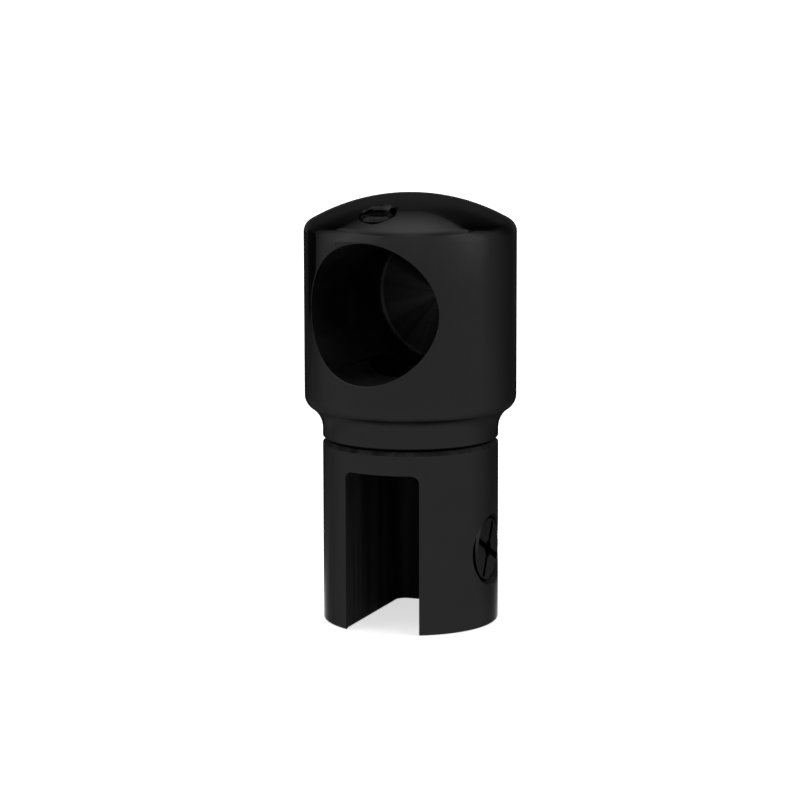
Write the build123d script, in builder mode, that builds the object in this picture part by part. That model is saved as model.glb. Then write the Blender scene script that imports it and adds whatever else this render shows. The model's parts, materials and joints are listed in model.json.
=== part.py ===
"""Swivel glass clamp for a round support bar.

The turned head takes the bar in a blind side bore. Below it a slotted jaw holds the edge of a
glass panel, and a pivot screw through the head's neck lets the head turn on the jaw.

Millimetres. +Z is up and the origin is the centre of the jaw's base. The pocket for the glass
opens towards -Y and downwards, and the clamp screw enters the jaw's +X side.
"""

import os
from math import acos, cos, sin, sqrt

from build123d import *

os.makedirs("parts", exist_ok=True)

# Bar bore in the head
bar_diameter = 19.0
bar_clearance = 0.35
bore_floor_fillet = 0.7
bore_mouth_break = 0.15

# Head
side_wall = 5.15
wall_behind_bore = 5.0
web_under_bore = 9.2
wall_over_bore = 1.3
crown_rise = 4.3
crown_edge_radius = 1.9
shoulder_radius = 2.1
cove_radius = 3.7
neck_land = 1.2
neck_foot_break = 0.2
head_turn = -5.0

# Jaw
jaw_diameter = 24.9
pocket_width = 11.0
pocket_height = 22.65
jaw_roof = 3.35
jaw_back_wall = 2.35
pocket_roof_fillet = 1.1
pocket_back_fillet = 1.2
pocket_edge_break = 0.2
jaw_top_chamfer = 0.55
jaw_foot_break = 0.3

# Pivot screw, its washers and their seats
swivel_gap = 0.3
slip_clearance = 0.03
swivel_washer_diameter = 18.0
neck_web = 3.4
pivot_diameter = 6.0
running_clearance = 0.06
pivot_head_diameter = 10.0
pivot_head_height = 4.0
pivot_head_chamfer = 0.4
pivot_socket_width = 5.0
pivot_socket_depth = 2.4
pivot_tip_recess = 0.3
pivot_tip_chamfer = 0.6
recess_clearance = 0.5
recess_edge_chamfer = 0.3
spring_washer_width = 1.75
spring_washer_thickness = 1.2
spring_washer_split = 0.8

# Bar set screw in the crown
set_screw_diameter = 5.0
set_screw_reach = 10.0
set_screw_sink = 0.35
set_screw_tip_gap = 0.2
set_screw_tip_chamfer = 0.8
set_screw_face_chamfer = 0.25
set_screw_socket_width = 2.5
set_screw_socket_depth = 1.5

# Clamp screw in the jaw's side, and the pad on its tip
clamp_screw_diameter = 10.0
clamp_screw_height = 10.7
clamp_screw_sink = 0.75
clamp_screw_rim_chamfer = 0.7
clamp_screw_tip_chamfer = 0.6
cross_width = 0.9
cross_reach = 4.1
cross_depth = 1.2
cross_centre_diameter = 2.4
cross_centre_depth = 1.6
cross_turn = 27.0
pad_diameter = 8.0
pad_thickness = 1.6
pad_set_back = 0.1
pad_edge_break = 0.3
pad_stem_diameter = 3.0
pad_stem_length = 1.8

# All screws in their tapped holes
thread_clearance = 0.05
tapped_hole_chamfer = 0.2

# Sizes and heights that follow
bore_radius = bar_diameter / 2 + bar_clearance
head_radius = bore_radius + side_wall
bore_floor = head_radius - wall_behind_bore
jaw_radius = jaw_diameter / 2
jaw_height = pocket_height + jaw_roof
neck_foot = jaw_height + swivel_gap
bore_height = neck_foot + web_under_bore + bore_radius
crown_edge_height = bore_height + bore_radius + wall_over_bore
head_top = crown_edge_height + crown_rise
crown_radius = (head_radius**2 + crown_rise**2) / (2 * crown_rise)
pocket_half = pocket_width / 2
pocket_floor = jaw_radius - jaw_back_wall

# Cove and shoulder are two arcs that meet tangent, so their bend comes from the step they bridge
step = head_radius - jaw_radius
bend = acos(1 - step / (cove_radius + shoulder_radius))
cove_foot = neck_foot + neck_land
meeting_radius = jaw_radius + cove_radius * (1 - cos(bend))
meeting_height = cove_foot + cove_radius * sin(bend)
wall_foot = meeting_height + shoulder_radius * sin(bend)

# The recess for the pivot screw's head, sunk in the bore's lowest line
recess_floor = neck_foot + neck_web
recess_radius = pivot_head_diameter / 2 + recess_clearance
pivot_radius = pivot_diameter / 2
pivot_hole_radius = pivot_radius + running_clearance
washer_seat = recess_floor + slip_clearance
pivot_head_seat = washer_seat + spring_washer_thickness
pivot_head_top = pivot_head_seat + pivot_head_height
pivot_tip = pocket_height + pivot_tip_recess

# The set screw's place on the crown
crown_centre_height = head_top - crown_radius
crown_height_at_screw = crown_centre_height + sqrt(crown_radius**2 - set_screw_reach**2)
set_screw_face = crown_height_at_screw - set_screw_sink
set_screw_tip = bore_height + bore_radius + set_screw_tip_gap
set_hole_radius = set_screw_diameter / 2 + thread_clearance

# The clamp screw's place across the jaw's side, as distances from the jaw's axis
clamp_hole_radius = clamp_screw_diameter / 2 + thread_clearance
clamp_screw_face = jaw_radius - clamp_screw_sink
pad_face = pocket_half + pad_set_back
pad_back = pad_face + pad_thickness
clamp_screw_tip = pad_back + slip_clearance
clamp_screw_length = clamp_screw_face - clamp_screw_tip

# The head is drawn with its bore towards -Y, then turned on the jaw to where it is stored
head_turned = Rotation(0, 0, head_turn)

# Head: one turned outline from the neck's foot to the crown, then its bore, recess and holes
with BuildPart() as bar_head:
    with BuildSketch(Plane.XZ) as head_outline:
        with BuildLine():
            neck_break = Line(
                (jaw_radius - neck_foot_break, neck_foot), (jaw_radius, neck_foot + neck_foot_break)
            )
            neck_side = Line(neck_break @ 1, (jaw_radius, cove_foot))
            cove = RadiusArc(neck_side @ 1, (meeting_radius, meeting_height), cove_radius)
            shoulder = RadiusArc(cove @ 1, (head_radius, wall_foot), -shoulder_radius)
            wall = Line(shoulder @ 1, (head_radius, crown_edge_height))
            crown = RadiusArc(wall @ 1, (0, head_top), -crown_radius)
            head_axis = Line(crown @ 1, (0, neck_foot))
            Line(head_axis @ 1, neck_break @ 0)
        make_face()
        crown_edge = head_outline.vertices().sort_by_distance((head_radius, crown_edge_height))[0]
        fillet(crown_edge, crown_edge_radius)
    revolve(axis=Axis.Z)
    # Blind bore from -Y: its floor lies behind the pivot, with a rounded corner
    with BuildSketch(Plane.XZ.offset(-bore_floor)):
        with Locations((0, bore_height)):
            Circle(bore_radius)
    extrude(amount=bore_floor + head_radius, mode=Mode.SUBTRACT)
    bore_floor_edge = bar_head.edges().filter_by(GeomType.CIRCLE).sort_by_distance(
        (bore_radius, bore_floor, bore_height)
    )[0]
    mouth_edge = bar_head.edges().filter_by(GeomType.BSPLINE)
    fillet(bore_floor_edge, bore_floor_fillet)
    fillet(mouth_edge, bore_mouth_break)
    # Recess and hole for the pivot screw, from the bore's lowest line down through the neck
    with BuildSketch(Plane.XY.offset(recess_floor)):
        Circle(recess_radius)
    extrude(amount=bore_height - recess_floor, mode=Mode.SUBTRACT)
    recess_edge = bar_head.edges().filter_by(GeomType.BSPLINE).filter_by_position(
        Axis.Z, recess_floor, bore_height
    ).sort_by_distance((recess_radius, 0, bore_height - bore_radius))[0]
    chamfer(recess_edge, recess_edge_chamfer)
    with BuildSketch(Plane.XY.offset(neck_foot)):
        Circle(pivot_hole_radius)
    extrude(amount=neck_web, mode=Mode.SUBTRACT)
    # Tapped hole through the crown into the bore
    with BuildSketch(Plane.XY.offset(bore_height)):
        with Locations((0, -set_screw_reach)):
            Circle(set_hole_radius)
    extrude(amount=head_top - bore_height, mode=Mode.SUBTRACT)
    set_hole_edge = bar_head.edges().filter_by(GeomType.BSPLINE).sort_by_distance(
        (0, set_hole_radius - set_screw_reach, head_top)
    )[0]
    chamfer(set_hole_edge, tapped_hole_chamfer)

bar_head.part.locate(head_turned)
bar_head.part.label = "bar_head"
export_step(bar_head.part, "parts/bar_head.step")

# Bar set screw: headless, with a hex socket, sunk just under the crown
with BuildPart() as bar_set_screw:
    with BuildSketch(Plane.XY.offset(set_screw_tip)):
        with Locations((0, -set_screw_reach)):
            Circle(set_screw_diameter / 2)
    extrude(amount=set_screw_face - set_screw_tip)
    chamfer(bar_set_screw.faces().sort_by(Axis.Z)[0].edges(), set_screw_tip_chamfer)
    chamfer(bar_set_screw.faces().sort_by(Axis.Z)[-1].edges(), set_screw_face_chamfer)
    with BuildSketch(Plane.XY.offset(set_screw_face)):
        with Locations((0, -set_screw_reach)):
            RegularPolygon(set_screw_socket_width / 2, 6, major_radius=False)
    extrude(amount=-set_screw_socket_depth, mode=Mode.SUBTRACT)

bar_set_screw.part.locate(head_turned)
bar_set_screw.part.label = "bar_set_screw"
export_step(bar_set_screw.part, "parts/bar_set_screw.step")

# Pivot screw: a low cylinder head with a hex socket, its shank tapped into the jaw's roof
with BuildPart() as pivot_screw:
    with BuildSketch(Plane.XY.offset(pivot_tip)):
        Circle(pivot_radius)
    extrude(amount=pivot_head_seat - pivot_tip)
    chamfer(pivot_screw.faces().sort_by(Axis.Z)[0].edges(), pivot_tip_chamfer)
    with BuildSketch(Plane.XY.offset(pivot_head_seat)):
        Circle(pivot_head_diameter / 2)
    extrude(amount=pivot_head_height)
    chamfer(pivot_screw.faces().sort_by(Axis.Z)[-1].edges(), pivot_head_chamfer)
    with BuildSketch(Plane.XY.offset(pivot_head_top)):
        RegularPolygon(pivot_socket_width / 2, 6, major_radius=False)
    extrude(amount=-pivot_socket_depth, mode=Mode.SUBTRACT)

pivot_screw.part.label = "pivot_screw"
export_step(pivot_screw.part, "parts/pivot_screw.step")

# Spring washer: a split ring, drawn as it lies when the pivot screw presses it flat
with BuildPart() as spring_washer:
    with BuildSketch(Plane.XY.offset(washer_seat)):
        Circle(pivot_hole_radius + spring_washer_width)
        Circle(pivot_hole_radius, mode=Mode.SUBTRACT)
        with Locations((pivot_hole_radius + spring_washer_width / 2, 0)):
            Rectangle(2 * spring_washer_width, spring_washer_split, mode=Mode.SUBTRACT)
    extrude(amount=spring_washer_thickness)

spring_washer.part.label = "spring_washer"
export_step(spring_washer.part, "parts/spring_washer.step")

# Swivel washer: the thin slip ring that the head turns on
with BuildPart() as swivel_washer:
    with BuildSketch(Plane.XY.offset(jaw_height)):
        Circle(swivel_washer_diameter / 2)
        Circle(pivot_hole_radius, mode=Mode.SUBTRACT)
    extrude(amount=swivel_gap - slip_clearance)

swivel_washer.part.label = "swivel_washer"
export_step(swivel_washer.part, "parts/swivel_washer.step")

# The pocket's own form: square across, with a rounded roof and rounded back corners
with BuildPart() as pocket:
    with BuildSketch():
        with Locations((0, pocket_floor)):
            Rectangle(pocket_width, pocket_floor + 2 * jaw_radius, align=(Align.CENTER, Align.MAX))
    extrude(amount=pocket_height)
    back_corners = pocket.edges().filter_by(Axis.Z).group_by(Axis.Y)[-1]
    fillet(back_corners, pocket_back_fillet)
    roof_edges = pocket.faces().sort_by(Axis.Z)[-1].edges().filter_by_position(
        Axis.Y, -jaw_radius, pocket_floor
    )
    fillet(roof_edges, pocket_roof_fillet)

# Jaw: a round bar with the pocket cut in from the front and below
with BuildPart() as jaw_body:
    with BuildSketch():
        Circle(jaw_radius)
    extrude(amount=jaw_height)
    chamfer(jaw_body.faces().sort_by(Axis.Z)[-1].edges(), jaw_top_chamfer)
    fillet(jaw_body.faces().sort_by(Axis.Z)[0].edges(), jaw_foot_break)
    add(pocket.part, mode=Mode.SUBTRACT)
    pocket_foot = jaw_body.faces().sort_by(Axis.Z)[0].edges().filter_by_position(
        Axis.X, -pocket_half, pocket_half
    )
    chamfer(pocket_foot, pocket_edge_break)
    # Tapped hole for the clamp screw, through the +X cheek only
    with BuildSketch(Plane.YZ):
        with Locations((0, clamp_screw_height)):
            Circle(clamp_hole_radius)
    extrude(amount=jaw_diameter, mode=Mode.SUBTRACT)
    clamp_hole_edge = jaw_body.edges().filter_by(GeomType.BSPLINE).sort_by_distance(
        (jaw_radius, 0, clamp_screw_height + clamp_hole_radius)
    )[0]
    chamfer(clamp_hole_edge, tapped_hole_chamfer)
    # Tapped hole for the pivot screw, through the roof
    with BuildSketch(Plane.XY.offset(pocket_height)):
        Circle(pivot_radius + thread_clearance)
    extrude(amount=jaw_roof, mode=Mode.SUBTRACT)

jaw_body.part.label = "jaw_body"
export_step(jaw_body.part, "parts/jaw_body.step")

# Clamp screw: headless, with a long-armed cross in its face and a socket for the pad's stem
with BuildPart() as clamp_screw:
    with BuildSketch(Plane.YZ.offset(clamp_screw_tip)):
        with Locations((0, clamp_screw_height)):
            Circle(clamp_screw_diameter / 2)
    extrude(amount=clamp_screw_length)
    chamfer(clamp_screw.faces().sort_by(Axis.X)[0].edges(), clamp_screw_tip_chamfer)
    chamfer(clamp_screw.faces().sort_by(Axis.X)[-1].edges(), clamp_screw_rim_chamfer)
    with BuildSketch(Plane.YZ.offset(clamp_screw_face)):
        with Locations((0, clamp_screw_height)):
            Rectangle(2 * cross_reach, cross_width, rotation=-cross_turn)
            Rectangle(cross_width, 2 * cross_reach, rotation=-cross_turn)
    extrude(amount=-cross_depth, mode=Mode.SUBTRACT)
    with BuildSketch(Plane.YZ.offset(clamp_screw_face)):
        with Locations((0, clamp_screw_height)):
            Circle(cross_centre_diameter / 2)
    extrude(amount=-cross_centre_depth, mode=Mode.SUBTRACT)
    with BuildSketch(Plane.YZ.offset(clamp_screw_tip)):
        with Locations((0, clamp_screw_height)):
            Circle(pad_stem_diameter / 2 + running_clearance)
    extrude(amount=pad_stem_length + running_clearance, mode=Mode.SUBTRACT)

clamp_screw.part.label = "clamp_screw"
export_step(clamp_screw.part, "parts/clamp_screw.step")

# Pressure pad: a soft disc with a stem that turns freely in the screw's tip
with BuildPart() as pressure_pad:
    with BuildSketch(Plane.YZ.offset(pad_face)):
        with Locations((0, clamp_screw_height)):
            Circle(pad_diameter / 2)
    extrude(amount=pad_thickness)
    fillet(pressure_pad.faces().sort_by(Axis.X)[0].edges(), pad_edge_break)
    with BuildSketch(Plane.YZ.offset(pad_back)):
        with Locations((0, clamp_screw_height)):
            Circle(pad_stem_diameter / 2)
    extrude(amount=pad_stem_length)

pressure_pad.part.label = "pressure_pad"
export_step(pressure_pad.part, "parts/pressure_pad.step")
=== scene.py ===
# %% [markdown]
# Glass clamp on a white table
#
# The clamp hangs a glass panel's edge on a round bar. It is small, turned from solid metal and plated
# black, so nearly all that the eye sees of it is reflections. This notebook rebuilds each piece with
# smooth, finely turned surfaces around the fixed CAD frame, gives the pieces their finishes, and then
# lights them the way a product photographer would.

# %% Load the frame
import json
import math

import bmesh
import bpy
from mathutils import Matrix, Vector


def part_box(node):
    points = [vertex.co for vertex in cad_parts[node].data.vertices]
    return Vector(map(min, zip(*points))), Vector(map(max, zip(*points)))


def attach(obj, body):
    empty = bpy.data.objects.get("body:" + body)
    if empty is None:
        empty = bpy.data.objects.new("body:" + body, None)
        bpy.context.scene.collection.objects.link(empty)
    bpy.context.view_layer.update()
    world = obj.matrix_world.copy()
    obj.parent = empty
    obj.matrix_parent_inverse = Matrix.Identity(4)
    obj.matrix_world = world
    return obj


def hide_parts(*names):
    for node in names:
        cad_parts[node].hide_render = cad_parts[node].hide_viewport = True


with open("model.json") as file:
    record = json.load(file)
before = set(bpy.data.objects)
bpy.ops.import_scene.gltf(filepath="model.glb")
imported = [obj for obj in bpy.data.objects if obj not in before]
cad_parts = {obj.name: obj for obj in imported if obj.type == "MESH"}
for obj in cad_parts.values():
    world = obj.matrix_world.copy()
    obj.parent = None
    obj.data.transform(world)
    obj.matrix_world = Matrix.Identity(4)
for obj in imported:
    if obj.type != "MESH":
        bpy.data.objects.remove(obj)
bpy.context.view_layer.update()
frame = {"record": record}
MM = 0.001

# %% [markdown]
# The frame already holds the real sizes. A node's box gives its lowest and highest corner, and the
# record's mounts give the bar's bore. Reading them from the frame, instead of typing them again, keeps
# each new piece exactly where the CAD piece stands. Only what a box can't tell, such as a rounding's
# radius, is written here as a named size in millimetres.

# %% Read the main sizes
def box_mm(node):
    """The lowest and highest corner of a CAD node, in millimetres."""
    low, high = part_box(node)
    return [round(value / MM, 2) for value in low], [round(value / MM, 2) for value in high]


head_low, head_high = box_mm("bar_head")
jaw_low, jaw_high = box_mm("jaw_body")
head_radius = head_high[0]
head_top = head_high[2]
neck_foot = head_low[2]
jaw_radius = jaw_high[0]
jaw_height = jaw_high[2]

bore_mount = next(mount for mount in frame["record"]["mounts"] if mount["name"] == "bar_bore")
bore_centre = Vector(bore_mount["pos_m"]) / MM
bore_outwards = Vector(bore_mount["axis"])
bore_radius = bore_mount["dims"]["r_mm"]
head_turn = math.atan2(bore_outwards.x, -bore_outwards.y)
print("head", head_radius, "by", head_top, "jaw", jaw_radius, "by", jaw_height)
print("bore radius", bore_radius, "head turned by", round(math.degrees(head_turn), 2), "degrees")

# %% [markdown]
# Turned parts come from a half outline that is spun about an axis, as on a lathe. The outline could be
# a list of points, but then its arcs would be lists of numbers too. Here a tip is led from point to
# point: a straight stretch extrudes the tip, and a rounding spins it about the rounding's centre.

# %% Outline: a profile that is drawn and then turned
WELD = 0.000001
TURNED_STEPS = 256
LARGE_STEPS = 192
MEDIUM_STEPS = 128
SMALL_STEPS = 96


def spin_round(bm, angle, steps, **more):
    """Spins a whole mesh about the Z axis."""
    everything = bm.verts[:] + bm.edges[:]
    bmesh.ops.spin(bm, geom=everything, cent=(0, 0, 0), axis=(0, 0, 1), angle=angle, steps=steps, **more)


class Outline:
    """A half profile in the XZ plane, drawn in millimetres from its first point onwards."""

    def __init__(self, across, up):
        self.bm = bmesh.new()
        self.tip = self.bm.verts.new((across * MM, 0, up * MM))

    def line(self, across, up):
        """Draws a straight stretch to a point."""
        self.tip = bmesh.ops.extrude_vert_indiv(self.bm, verts=[self.tip])["verts"][0]
        self.tip.co = (across * MM, 0, up * MM)
        return self

    def arc(self, across, up, degrees, steps):
        """Draws round a centre. A positive angle goes from +Z towards +X."""
        made = bmesh.ops.spin(
            self.bm,
            geom=[self.tip],
            cent=(across * MM, 0, up * MM),
            axis=(0, 1, 0),
            angle=math.radians(degrees),
            steps=steps,
        )
        self.tip = next(part for part in made["geom_last"] if isinstance(part, bmesh.types.BMVert))
        return self

    def turned(self, steps=TURNED_STEPS):
        """Spins the outline a full turn about Z and returns the closed skin."""
        spin_round(self.bm, math.tau, steps, use_merge=True)
        bmesh.ops.remove_doubles(self.bm, verts=self.bm.verts, dist=WELD)
        bmesh.ops.recalc_face_normals(self.bm, faces=self.bm.faces)
        return self.bm


def plug(radius, low, high, steps):
    """A plain cylinder on the Z axis between two heights, in millimetres."""
    return Outline(0, low).line(radius, low).line(radius, high).line(0, high).turned(steps)


# %% [markdown]
# Holes, pockets and sockets are machined out of solid metal. The Boolean modifier does the same with a
# tool's mesh. Its result is taken over at once, so that each later step finds real faces and edges.

# %% Objects from meshes, and cutting one with another
def new_object(name, bm, matrix=None):
    """Moves a finished bmesh into a new object whose place is in its mesh."""
    if matrix is not None:
        bmesh.ops.transform(bm, matrix=matrix, verts=bm.verts)
    mesh = bpy.data.meshes.new(name)
    bm.to_mesh(mesh)
    bm.free()
    piece = bpy.data.objects.new(name, mesh)
    bpy.context.scene.collection.objects.link(piece)
    return piece


def cut(piece, tool, operation="DIFFERENCE"):
    """Cuts a piece with a tool, or joins or intersects them, and throws the tool away."""
    modifier = piece.modifiers.new("cut", "BOOLEAN")
    modifier.operation = operation
    modifier.solver = "EXACT"
    modifier.object = tool
    seen = piece.evaluated_get(bpy.context.evaluated_depsgraph_get())
    settled = bpy.data.meshes.new_from_object(seen)
    piece.modifiers.clear()
    worn_out = piece.data
    piece.data = settled
    bpy.data.meshes.remove(worn_out)
    bpy.data.objects.remove(tool)
    return piece


def placed_along(axis, origin):
    """The matrix that lays local +Z along an axis, with local zero at a point given in millimetres."""
    turn = Vector(axis).to_track_quat("Z", "Y").to_matrix().to_4x4()
    return Matrix.Translation(Vector(origin) * MM) @ turn


def bevel(bm, edges, width, segments):
    """Rounds some edges, or chamfers them where it is given one segment."""
    bmesh.ops.bevel(
        bm, geom=edges, offset=width * MM, affect="EDGES", segments=segments, profile=0.5, material=-1
    )


def round_edges(piece, chosen, width, segments, stray=0.02):
    """Breaks the edges that a test picks, after stray short edges along them are merged."""
    bm = bmesh.new()
    bm.from_mesh(piece.data)
    rim = [vert for vert in bm.verts if chosen(vert.co / MM)]
    bmesh.ops.remove_doubles(bm, verts=rim, dist=stray * MM)
    edges = [
        edge
        for edge in bm.edges
        if chosen(edge.verts[0].co / MM) and chosen(edge.verts[1].co / MM)
        and edge.calc_face_angle(0) > math.radians(20)
    ]
    bevel(bm, edges, width, segments)
    bm.to_mesh(piece.data)
    bm.free()
    print(piece.name, "rounded", len(edges), "edges by", width, "mm")


# %% [markdown]
# The head is one turned piece. From below, its outline runs up the narrow neck, swings out through a
# hollow cove and over a rounded shoulder, follows the straight wall, and rounds over into the domed
# crown. The cove and the shoulder are two arcs that meet without a corner, so the angle at which they
# meet follows from the step that they bridge. The crown's edge is an arc that touches both the wall
# and the dome, which gives its centre by the same kind of sum.

# %% Bar head: the turned body
cove_radius = 3.7
shoulder_radius = 2.1
neck_land = 1.2
neck_foot_break = 0.2
crown_rise = 4.3
crown_edge_radius = 1.9

bend = math.acos(1 - (head_radius - jaw_radius) / (cove_radius + shoulder_radius))
cove_foot = neck_foot + neck_land
wall_foot = cove_foot + (cove_radius + shoulder_radius) * math.sin(bend)
crown_radius = (head_radius**2 + crown_rise**2) / (2 * crown_rise)
crown_centre = head_top - crown_radius
edge_centre_across = head_radius - crown_edge_radius
edge_centre_up = crown_centre + math.sqrt((crown_radius - crown_edge_radius) ** 2 - edge_centre_across**2)
edge_turn = math.degrees(math.atan2(edge_centre_up - crown_centre, edge_centre_across))

head_outline = (
    Outline(0, neck_foot)
    .line(jaw_radius - neck_foot_break, neck_foot)
    .line(jaw_radius, neck_foot + neck_foot_break)
    .line(jaw_radius, cove_foot)
    .arc(jaw_radius + cove_radius, cove_foot, math.degrees(bend), 16)
    .arc(head_radius - shoulder_radius, wall_foot, -math.degrees(bend), 12)
    .line(head_radius, edge_centre_up)
    .arc(edge_centre_across, edge_centre_up, -edge_turn, 16)
    .arc(0, crown_centre, edge_turn - 90, 40)
)
bar_head = new_object("bar_head_turned", head_outline.turned())
print("crown radius", round(crown_radius, 2), "wall", round(wall_foot, 2), "to", round(edge_centre_up, 2))

# %% [markdown]
# The bar's bore comes in from the side and stops short of the back wall. A drill would leave a pointed
# end, but this one was bored flat, with a small rounding where the side meets the floor. The cutting
# tool is itself a turned piece, and the Boolean modifier takes it away from the head. A recess for the
# pivot screw's head is sunk in the bore's lowest line, and a tapped hole comes down through the crown.

# %% Bar head: bore, recess and holes
wall_behind_bore = 5.0
bore_floor_fillet = 0.7
bore_mouth_break = 0.15
recess_clearance = 0.5
slip_clearance = 0.03
running_clearance = 0.06
thread_clearance = 0.05
over_cut = 2.0

pivot_low, pivot_high = box_mm("pivot_screw")
washer_low, washer_high = box_mm("spring_washer")
set_low, set_high = box_mm("bar_set_screw")
pivot_radius = 3.0
recess_radius = pivot_high[0] + recess_clearance
recess_floor = washer_low[2] - slip_clearance
pivot_hole_radius = pivot_radius + running_clearance
set_screw_centre = Vector(((set_low[0] + set_high[0]) / 2, (set_low[1] + set_high[1]) / 2, 0))
set_screw_radius = (set_high[0] - set_low[0]) / 2
set_hole_radius = set_screw_radius + thread_clearance
bore_floor = head_radius - wall_behind_bore

bore_tool = (
    Outline(0, 0)
    .line(bore_radius - bore_floor_fillet, 0)
    .arc(bore_radius - bore_floor_fillet, bore_floor_fillet, -90, 8)
    .line(bore_radius, bore_floor + head_radius + over_cut)
    .line(0, bore_floor + head_radius + over_cut)
)
bore_start = bore_centre - bore_outwards * bore_floor
bore_place = placed_along(bore_outwards, bore_start)
cut(bar_head, new_object("bore_tool", bore_tool.turned(LARGE_STEPS), bore_place))

recess_tool = (
    Outline(0, neck_foot - over_cut)
    .line(pivot_hole_radius, neck_foot - over_cut)
    .line(pivot_hole_radius, recess_floor)
    .line(recess_radius, recess_floor)
    .line(recess_radius, bore_centre.z)
    .line(0, bore_centre.z)
)
cut(bar_head, new_object("recess_tool", recess_tool.turned(MEDIUM_STEPS)))

set_hole_tool = plug(set_hole_radius, bore_centre.z, head_top + over_cut, SMALL_STEPS)
set_place = Matrix.Translation(set_screw_centre * MM)
cut(bar_head, new_object("set_hole_tool", set_hole_tool, set_place))
print("head after cutting:", len(bar_head.data.polygons), "faces")

# %% [markdown]
# No machined edge is left razor sharp. The thin line of light round the bore's mouth in the photograph
# is exactly such a broken edge. A bevel on the edge where wall and bore meet gives it. The edges are
# found by where they lie: a point on the rim is as far from the head's axis as the wall is, and as far
# from the bore's axis as the bore's side is.

# %% Bar head: broken edges
recess_edge_chamfer = 0.3
tapped_hole_chamfer = 0.2
near = 0.01


def from_axis(point, centre, axis):
    """How far a point lies from a line."""
    return (point - centre).cross(axis).length


def on_bore_mouth(point):
    """True on the rim where the bore leaves the head's wall."""
    outside = abs(math.hypot(point.x, point.y) - head_radius) < near
    return outside and abs(from_axis(point, bore_centre, bore_outwards) - bore_radius) < near


def on_recess_rim(point):
    """True on the rim where the recess leaves the bore."""
    upright = abs(math.hypot(point.x, point.y) - recess_radius) < near
    return upright and abs(from_axis(point, bore_centre, bore_outwards) - bore_radius) < near


def on_set_hole_rim(point):
    """True on the rim where the tapped hole leaves the crown."""
    upright = abs((point - set_screw_centre).xy.length - set_hole_radius) < near
    return upright and abs((point - Vector((0, 0, crown_centre))).length - crown_radius) < near


round_edges(bar_head, on_bore_mouth, bore_mouth_break, 3)
round_edges(bar_head, on_recess_rim, recess_edge_chamfer, 1)
round_edges(bar_head, on_set_hole_rim, tapped_hole_chamfer, 1)

# %% [markdown]
# The jaw is a round bar, chamfered at the top and barely broken at the foot. The pocket for the glass
# is milled into it from the front and below. Its cutter is a block: bevelling the block's back upright
# edges and then its top edges gives the pocket the rounded corners that an end mill leaves.

# %% Jaw: the turned body and the pocket
jaw_top_chamfer = 0.55
jaw_foot_break = 0.3
pocket_width = 11.0
pocket_height = 22.65
jaw_back_wall = 2.35
pocket_back_fillet = 1.2
pocket_roof_fillet = 1.1
pocket_edge_break = 0.2
mouth_edge_break = 0.1

jaw_outline = (
    Outline(0, 0)
    .line(jaw_radius - jaw_foot_break, 0)
    .arc(jaw_radius - jaw_foot_break, jaw_foot_break, -90, 6)
    .line(jaw_radius, jaw_height - jaw_top_chamfer)
    .line(jaw_radius - jaw_top_chamfer, jaw_height)
    .line(0, jaw_height)
)
jaw_body = new_object("jaw_body_turned", jaw_outline.turned())

pocket_half = pocket_width / 2
pocket_floor = jaw_radius - jaw_back_wall


def block(low, high):
    """A block between two corners, in millimetres."""
    bm = bmesh.new()
    bmesh.ops.create_cube(bm, size=1)
    size = Vector(high) - Vector(low)
    middle = (Vector(high) + Vector(low)) / 2
    bmesh.ops.scale(bm, vec=size * MM, verts=bm.verts)
    bmesh.ops.translate(bm, vec=middle * MM, verts=bm.verts)
    return bm


pocket_front = -jaw_radius - over_cut
pocket_tool = block((-pocket_half, pocket_front, -over_cut), (pocket_half, pocket_floor, pocket_height))
back_uprights = [
    edge
    for edge in pocket_tool.edges
    if all(vert.co.y / MM > pocket_floor - near for vert in edge.verts)
    and abs(edge.verts[0].co.z - edge.verts[1].co.z) > pocket_height * MM
]
bevel(pocket_tool, back_uprights, pocket_back_fillet, 8)
roof_edges = [
    edge for edge in pocket_tool.edges if all(vert.co.z / MM > pocket_height - near for vert in edge.verts)
]
bevel(pocket_tool, roof_edges, pocket_roof_fillet, 8)
cut(jaw_body, new_object("pocket_tool", pocket_tool))
print("pocket", pocket_width, "wide and", pocket_height, "high, floor at", round(pocket_floor, 2))

# %% [markdown]
# The clamp screw enters through the right cheek and the pivot screw from above, each in a tapped hole.
# Plain cylinders cut both, since the screws fill them. The edges are then found by place, as on the head.

# %% Jaw: the screw holes and the broken edges
screw_low, screw_high = box_mm("clamp_screw")
clamp_screw_centre = Vector((0, (screw_low[1] + screw_high[1]) / 2, (screw_low[2] + screw_high[2]) / 2))
clamp_screw_radius = (screw_high[2] - screw_low[2]) / 2
clamp_hole_radius = clamp_screw_radius + thread_clearance
clamp_axis = Vector((1, 0, 0))

clamp_hole_tool = plug(clamp_hole_radius, 0, jaw_radius + over_cut, MEDIUM_STEPS)
clamp_hole_place = placed_along(clamp_axis, clamp_screw_centre)
cut(jaw_body, new_object("clamp_hole_tool", clamp_hole_tool, clamp_hole_place))

pivot_tap_radius = pivot_radius + thread_clearance
pivot_tap = plug(pivot_tap_radius, pocket_height - over_cut, jaw_height + over_cut, SMALL_STEPS)
cut(jaw_body, new_object("pivot_tap", pivot_tap))


def on_clamp_hole_rim(point):
    """True on the rim where the clamp screw's hole leaves the jaw's wall."""
    outside = abs(math.hypot(point.x, point.y) - jaw_radius) < near
    return outside and abs(from_axis(point, clamp_screw_centre, clamp_axis) - clamp_hole_radius) < near


def on_pocket_foot(point):
    """True on the pocket's edge in the jaw's base."""
    on_side = abs(abs(point.x) - pocket_half) < near
    round_the_back = point.y > pocket_floor - pocket_back_fillet - near
    within = math.hypot(point.x, point.y) < jaw_radius - jaw_foot_break - near
    beside_pocket = abs(point.x) < pocket_half + near
    return abs(point.z) < near and within and (on_side or round_the_back) and beside_pocket


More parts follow.
